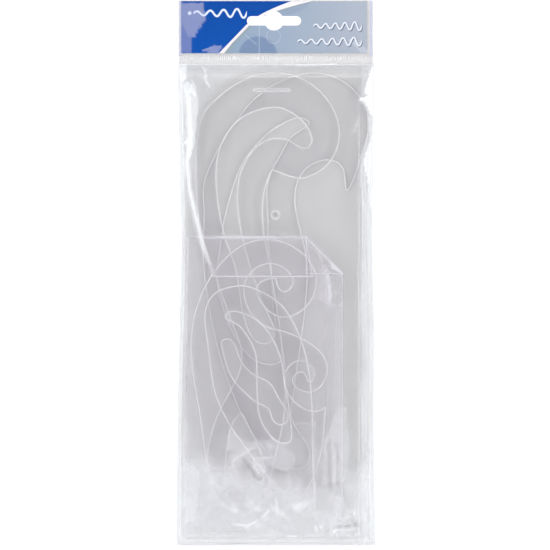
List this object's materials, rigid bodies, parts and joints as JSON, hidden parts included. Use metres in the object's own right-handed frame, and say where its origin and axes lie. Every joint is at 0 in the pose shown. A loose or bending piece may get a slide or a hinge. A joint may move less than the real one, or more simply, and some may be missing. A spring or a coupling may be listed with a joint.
{
  "type": "french curve set in a hanging bag",
  "caption": "Flat clear film hang bag with a printed header card, holding large and small clear french curve templates, the small ones in an inner bag.",
  "frame": {"origin": "centre of the pack's bounding box, on its back face", "axes": "+Z out of the front of the bag, +Y towards the header and its hang slot, +X to the right as seen from the front"},
  "size_m": [0.1186, 0.328, 0.0089],
  "materials": {
    "clear_film": "clear crumpled polypropylene film",
    "inner_clear_film": "clear soft film",
    "film_weld": "heat-sealed film, whitish",
    "clear_styrene": "clear moulded styrene sheet with bright bevelled edges",
    "printed_card": "coated card, printed blue and pale grey-blue"
  },
  "bodies": {
    "bag": {"header_card": "printed_card", "header_film_front": "clear_film", "header_film_back": "clear_film", "crimp_seal": "film_weld", "pouch_film_front": "clear_film", "pouch_film_back": "clear_film", "side_weld_left": "film_weld", "side_weld_right": "film_weld", "bottom_weld": "film_weld"},
    "inner_bag": {"inner_film_front": "inner_clear_film", "inner_film_back": "inner_clear_film", "inner_weld": "film_weld", "inner_flap": "inner_clear_film", "inner_corner_fold": "inner_clear_film"},
    "large_hook": {"large_hook_curve": "clear_styrene"},
    "long_hook": {"long_hook_curve": "clear_styrene"},
    "scroll": {"scroll_curve": "clear_styrene"},
    "teardrop": {"teardrop_curve": "clear_styrene"}
  },
  "joints": [
    {"name": "large_hook_slide", "type": "slide", "parent": "bag", "child": "large_hook", "axis": [0, 1, 0], "range_m": [-0.016, 0.0014]},
    {"name": "long_hook_slide", "type": "slide", "parent": "bag", "child": "long_hook", "axis": [0, 1, 0], "range_m": [-0.0435, 0.0035]},
    {"name": "inner_bag_slide", "type": "slide", "parent": "bag", "child": "inner_bag", "axis": [0, 1, 0], "range_m": [-0.004, 0.093]},
    {"name": "scroll_slide", "type": "slide", "parent": "inner_bag", "child": "scroll", "axis": [0, 1, 0], "range_m": [-0.002, 0.0009]},
    {"name": "teardrop_slide", "type": "slide", "parent": "inner_bag", "child": "teardrop", "axis": [0, 1, 0], "range_m": [-0.0105, 0.0275]}
  ]
}
